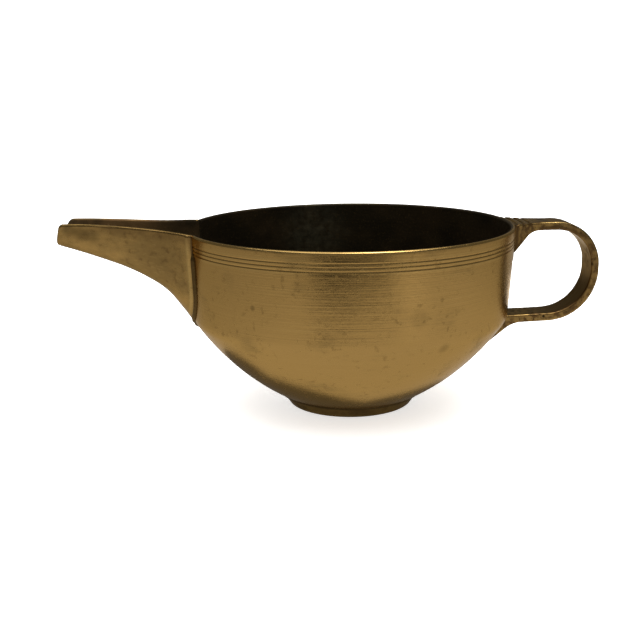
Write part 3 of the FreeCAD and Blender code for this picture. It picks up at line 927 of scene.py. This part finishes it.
def solder_look():
    """Dark lumpy solder with stains of brown and olive."""
    look = Look("solder")
    lump = look.noise(1.4, detail=5, seed=2)
    fine = look.noise(0.5, detail=4, seed=7)
    colour = look.mix(look.ease(lump, 0.45, 0.75, 0.0, 0.8), LEAD, BROWN)
    colour = look.mix(look.ease(fine, 0.6, 0.8, 0.0, 0.5), colour, OLIVE)
    height = look.plus(lump, look.times(fine, 0.4))
    return look.finish(colour, look.ease(fine, 0.2, 0.8, 0.38, 0.56), height, 0.15)


# ---- wear, dirt and painted shade

def distance_from(points, path):
    """How far each point is from the nearest point of a path."""
    tree = kdtree.KDTree(len(path))
    for i, point in enumerate(path):
        tree.insert(point, i)
    tree.balance()
    return np.array([tree.find(point)[2] for point in points])


def paint_bowl(bowl, seams):
    """Dark inside, dirty in the turned lines and at the joints, worn on ridges and rim."""
    points = points_of(bowl)
    radius, height = np.hypot(points[:, 0], points[:, 1]), points[:, 2]
    depth = bowl_radius(height) - radius
    inside = smoothstep(0.45, 1.1, depth) * (height > BOWL_BASE + 0.9)
    grooves = sum(bump(line, 0.5, height) for line in LINE_HEIGHTS)
    grooves *= 0.13 + 0.13 * smoothstep(-35, 15, points[:, 0])
    ridges = sum(bump(line, 0.35, height) for line in RIDGE_HEIGHTS)
    rim = smoothstep(67.0, 67.7, height) * 0.6 * (1 - inside)
    near = 1 - smoothstep(0.3, 1.4, distance_from(points, seams))
    paint(bowl, "inside", inside)
    paint(bowl, "grime_and_shade", np.maximum(grooves * (depth < 1), 0.5 * near))
    paint(bowl, "wear", np.maximum(rim, 0.5 * ridges))


def paint_spout(spout):
    """Worn bright along the top edges, dirty at the seam, darker along the keel, and darkened
    with a painted shade under the top edge towards the tip.
    """
    points = points_of(spout)
    reach, height = -points[:, 0], points[:, 2]
    under = spout_top(reach) - height
    seam = distance_from(points, spout_seam(np.linspace(0, 1, 300)))
    keel = 1 - smoothstep(0.5, 3.0, height - spout_keel(reach))
    # painted shade: the sheet darkened under its top edge towards the tip, standing in for the
    # dark room that it mirrors there
    shade = 0.45 * (1 - smoothstep(1.5, 7.0, under)) * smoothstep(108, 84, reach)
    edge = 0.5 - 0.5 * smoothstep(0.1, 0.6, under)
    grime_and_shade = [1 - smoothstep(0.2, 1.0, seam), 0.35 * keel, shade]
    paint(spout, "grime_and_shade", np.max(grime_and_shade, axis=0))
    paint(spout, "wear", np.maximum(edge, 0.7 * bump(2.2, 1.4, seam)))


def strap_depth(reach, height):
    """How deep each point is under the outer face of the loop."""
    is_upper = height > (UPPER[1] + LOWER[1]) / 2
    across, up, radius = (np.where(is_upper, a, b) for a, b in zip(UPPER, LOWER))
    bent = radius - np.hypot(reach - across, height - up)
    straight = np.where(height > 50, HANDLE_TOP - height, height - LOWER[1] + LOWER[2])
    return np.where(reach > across, bent, straight)


def paint_handle(handle):
    """Dark in the reeds, at the roots and inside the loop, more so low in the loop and towards
    its outer end, with a painted shade high on the strap's sides, bright on the rubbed edges.
    """
    points = points_of(handle)
    reach, side, height = points[:, 0], np.abs(points[:, 1]), points[:, 2]
    depth = strap_depth(reach, height)
    on_top = height > HANDLE_TOP - 1.2
    reeds = sum(bump(middle, 0.9, reach) for middle in REEDS) * on_top
    ridges = sum(bump(middle, 0.8, reach) for middle in REED_RIDGES) * on_top
    root = np.maximum(bump(61.0, 1.3, reach), smoothstep(60.5, 57.0, height)) * (height > 50)
    root *= smoothstep(66, 63, reach)
    within = smoothstep(STRAP - 0.7, STRAP - 0.1, depth) * (reach > 60)
    low = smoothstep(60, 34, height) * smoothstep(70, 84, reach)
    # painted shade: the strap's flat sides darkened high up, standing in for the dark room that
    # they mirror
    face = smoothstep(0.8, 2.2, depth) * smoothstep(56, 64, height) * smoothstep(68, 72, reach)
    edge = smoothstep(STRAP_HALF - 1.3, STRAP_HALF - 0.3, side) * smoothstep(70, 74, reach)
    rubbed = edge * (1 - within) * bump(0.2, 1.2, depth)
    grime_and_shade = [reeds, root, within * (0.4 + 0.6 * low), 0.7 * face * (side > 5),
             0.45 * smoothstep(74, 84, reach)]
    paint(handle, "inside", np.zeros(len(points)))
    paint(handle, "grime_and_shade", np.max(grime_and_shade, axis=0))
    paint(handle, "wear", np.maximum(0.7 * rubbed, 0.6 * ridges))


def paint_foot(foot):
    """Darkened all over with a painted shade, as the foot stands in the belly's shadow, darker
    again with dirt at the seam, and darker in the bore; worn near the table.
    """
    points = points_of(foot)
    height = points[:, 2]
    bore = np.hypot(points[:, 0], points[:, 1]) < FOOT_BORE + 0.7
    seam = smoothstep(FOOT_HEIGHT - 1.2, FOOT_HEIGHT - 0.2, height)
    paint(foot, "inside", np.zeros(len(points)))
    # the 0.4 all over is painted shade; the rise at the seam is dirt at the joint
    paint(foot, "grime_and_shade", np.maximum(0.4 + 0.6 * seam, 0.7 * bore))
    paint(foot, "wear", 0.6 * bump(0.5, 0.8, height))


def seam_path():
    """Points along every joint on the bowl's outer face."""
    turn = np.linspace(0, 2 * math.pi, 240)
    foot_seam = np.column_stack([FOOT_RADIUS * np.cos(turn), FOOT_RADIUS * np.sin(turn),
                                 np.full(len(turn), FOOT_HEIGHT)])
    roots = [root_path(corners) for corners in (TOP_ROOT, HEEL_ROOT)]
    return np.vstack([spout_seam(np.linspace(0.02, 0.98, 200)), foot_seam, *roots])


# small dark stains: centre, radius, soft edge and strength
BOWL_SPOTS = (
    ((-36.8, -47.1, 47.8), 0.4, 1.0, 0.35),
    ((17.4, -57.0, 44.7), 1.5, 3.0, 0.15),
    ((26.7, -51.3, 32.9), 0.6, 2.4, 0.25),
)
SPOUT_SPOTS = (
    ((-102.0, -8.5, 69.2), 1.2, 2.4, 0.45),
    ((-97.9, -8.6, 67.8), 1.0, 3.2, 0.5),
    ((-94.0, -8.8, 67.0), 1.0, 3.0, 0.35),
)
HANDLE_SPOTS = (
    ((73.4, -6.2, 32.1), 0.3, 0.4, 0.9),
    ((72.5, 0.7, 68.0), 0.8, 1.2, 0.8),
    ((91.0, -6.2, 51.8), 0.3, 0.8, 0.7),
)


def dress(pieces, material):
    """Give the pieces one material."""
    for piece in pieces:
        piece.data.materials.clear()
        piece.data.materials.append(material)


bowl = make_bowl()
cut(bowl, mouth_cutter())
spout = make_spout()
handle = make_handle()
foot = make_foot()
beads = [
    spout_bead(),
    root_bead("handle_top_bead", "handle_top_solder", TOP_ROOT, (60, 0, 62)),
    root_bead("handle_heel_bead", "handle_heel_solder", HEEL_ROOT, (55, 0, 29)),
    foot_bead(),
]

paint_bowl(bowl, seam_path())
paint_spout(spout)
paint_handle(handle)
paint_foot(foot)
dress([bowl], brass("bowl_brass", olive=0.25, rough=0.25, spots=BOWL_SPOTS))
dress([spout], brass("spout_brass", olive=0.9, brown=0.1, marks=(30, 1, 1), trough=1.0,
                     spots=SPOUT_SPOTS))
dress([handle], brass("handle_brass", olive=0.7, brown=0.8, rough=0.33, marks=(2, 2, 2),
                      spots=HANDLE_SPOTS))
dress([foot], brass("foot_brass", olive=0.6, brown=0.1))
dress(beads, solder_look())

# ---- stage, light and camera

# degrees, and millimetres
CAMERA = {"azimuth": -3.781, "elevation": 13.741, "roll": -0.687, "distance": 393.46,
          "target": (-11.383, 0.0, 31.420), "lens": 58.11}
# what the metal mirrors of the table: the table's own glow, and patches of painted shadow
# and painted light on it that are darker or lighter: centre, radius, soft edge and glow
TABLE_GLOW = 0.42
TABLE_PAINTED_SHADOWS_AND_LIGHT = (
    # painted light: the table lighter in front
    ((30, -60, 0), 90, 200, 0.66),
    ((105, -170, 0), 8, 45, 0.85),
    # painted shade: the table dark further in front
    ((-62, -293, 0), 72, 54, 0.0),
    ((30, -320, 0), 60, 66, 0.0),
    # painted shadow: the boat's own shadow under it and to its left
    ((6, 6, 0), 33, 3, 0.14),
    ((-12, 4, 0), 34, 3, 0.14),
    ((-34, 12, 0), 29, 3, 0.14),
    # painted shadow: the handle's shadow behind on the right
    ((185, 120, 0), 14, 12, 0.02),
    ((150, 104, 0), 10, 10, 0.02),
    # painted light: a pool of light behind on the right
    ((130, 170, 0), 35, 15, 1.4),
)
# how far the table's card stands over the floor, in metres
TABLE_LIFT = 0.0002
# the brightness of the room that the metal mirrors
ROOM = 0.14
# the floor, in metres: half its width, its near edge, and the sweep up to its backdrop
FLOOR_HALF = 3
FLOOR_NEAR = -1.6
SWEEP_START = 0.9
SWEEP_RADIUS = 0.5
BACKDROP_TOP = 2.4


def add_camera():
    """A camera at a distance from its target, seen at an azimuth and elevation, and rolled."""
    azimuth, elevation, roll = (math.radians(CAMERA[k]) for k in ("azimuth", "elevation", "roll"))
    back = Vector((math.sin(azimuth) * math.cos(elevation),
                   -math.cos(azimuth) * math.cos(elevation), math.sin(elevation)))
    right = (-back).cross(Vector((0, 0, 1))).normalized()
    up = back.cross(right)
    across = right * math.cos(roll) + up * math.sin(roll)
    above = up * math.cos(roll) - right * math.sin(roll)
    data = bpy.data.cameras.new("camera")
    data.lens = CAMERA["lens"]
    data.sensor_width = 36
    data.clip_start = 0.01
    camera = bpy.data.objects.new("camera", data)
    place = (Vector(CAMERA["target"]) + back * CAMERA["distance"]) * MM
    turn = Matrix((across, above, back)).transposed().to_4x4()
    camera.matrix_world = Matrix.Translation(place) @ turn
    bpy.context.scene.collection.objects.link(camera)
    bpy.context.scene.camera = camera


def floor_look():
    """Pale paper with a faint glow of its own, which keeps its shadows light."""
    material = bpy.data.materials.new("floor_paper")
    material.use_nodes = True
    shader = material.node_tree.nodes["Principled BSDF"]
    shader.inputs["Base Color"].default_value = (0.9, 0.9, 0.89, 1)
    shader.inputs["Roughness"].default_value = 0.9
    shader.inputs["Specular IOR Level"].default_value = 0.1
    shader.inputs["Emission Color"].default_value = (1, 0.99, 0.98, 1)
    shader.inputs["Emission Strength"].default_value = 0.7
    return material


def add_floor():
    """A pale floor that sweeps up into a backdrop."""
    profile = [(FLOOR_NEAR, 0), (SWEEP_START, 0)]
    for angle in np.radians(np.linspace(6, 90, 15)):
        profile.append((SWEEP_START + SWEEP_RADIUS * math.sin(angle),
                        SWEEP_RADIUS - SWEEP_RADIUS * math.cos(angle)))
    profile.append((SWEEP_START + SWEEP_RADIUS, BACKDROP_TOP))
    points, faces = [], []
    for y, z in profile:
        points += [(-FLOOR_HALF, y, z), (FLOOR_HALF, y, z)]
    for i in range(len(profile) - 1):
        faces.append((2 * i, 2 * i + 1, 2 * i + 3, 2 * i + 2))
    mesh = bpy.data.meshes.new("floor")
    mesh.from_pydata(points, [], faces)
    mesh.shade_smooth()
    floor = bpy.data.objects.new("floor", mesh)
    floor.data.materials.append(floor_look())
    floor.visible_glossy = False
    bpy.context.scene.collection.objects.link(floor)


def table_look():
    """Black, with an even glow that the patches of painted shadow and painted light replace."""
    look = Look("table_painted_reflection")
    glow = TABLE_GLOW
    for centre, radius, soft, level in TABLE_PAINTED_SHADOWS_AND_LIGHT:
        share = look.spot(centre, radius, soft)
        rest = look.times(look.minus(1.0, share), glow)
        glow = look.plus(rest, look.times(share, level))
    look.feed(look.shader.inputs["Base Color"], (0, 0, 0, 1))
    look.feed(look.shader.inputs["Specular IOR Level"], 0.0)
    look.feed(look.shader.inputs["Emission Color"], (1.0, 0.97, 0.92, 1))
    look.feed(look.shader.inputs["Emission Strength"], glow)
    return look.material


def add_table():
    """A card just over the floor that only reflections see, glowing with a painted reflection of
    the table and its shadows.
    """
    mesh = bpy.data.meshes.new("table")
    mesh.from_pydata([(-1.4, -1.5, 0), (1.4, -1.5, 0), (1.4, 1.2, 0), (-1.4, 1.2, 0)], [],
                     [(0, 1, 2, 3)])
    table = bpy.data.objects.new("table", mesh)
    table.location = (0, 0, TABLE_LIFT)
    table.data.materials.append(table_look())
    table.visible_camera = False
    table.visible_diffuse = False
    table.visible_shadow = False
    bpy.context.scene.collection.objects.link(table)


def area_light(name, place, aim, size, power, reflected=True):
    """A soft light that mirror rays may or may not see."""
    data = bpy.data.lights.new(name, "AREA")
    data.shape = "RECTANGLE"
    data.size, data.size_y = size
    data.energy = power
    light = bpy.data.objects.new(name, data)
    light.location = place
    light.rotation_euler = (Vector(aim) - Vector(place)).to_track_quat("-Z", "Y").to_euler()
    light.visible_glossy = reflected
    bpy.context.scene.collection.objects.link(light)


def add_light():
    """A dim room, a ceiling for the floor, and two soft lights over the boat."""
    world = bpy.data.worlds.new("world")
    world.use_nodes = True
    room = world.node_tree.nodes["Background"]
    room.inputs["Color"].default_value = (ROOM, ROOM, ROOM * 0.95, 1)
    bpy.context.scene.world = world
    middle = (0, 0, 0.03)
    area_light("ceiling", (0, -0.2, 2.2), middle, (3.0, 3.0), 50, reflected=False)
    area_light("overhead", (0, -0.1, 1.3), middle, (1.6, 1.6), 11)
    area_light("softbox", (0.15, -0.15, 0.9), middle, (0.35, 0.35), 3)


add_camera()
add_floor()
add_table()
add_light()
bpy.context.scene.view_settings.view_transform = "Standard"
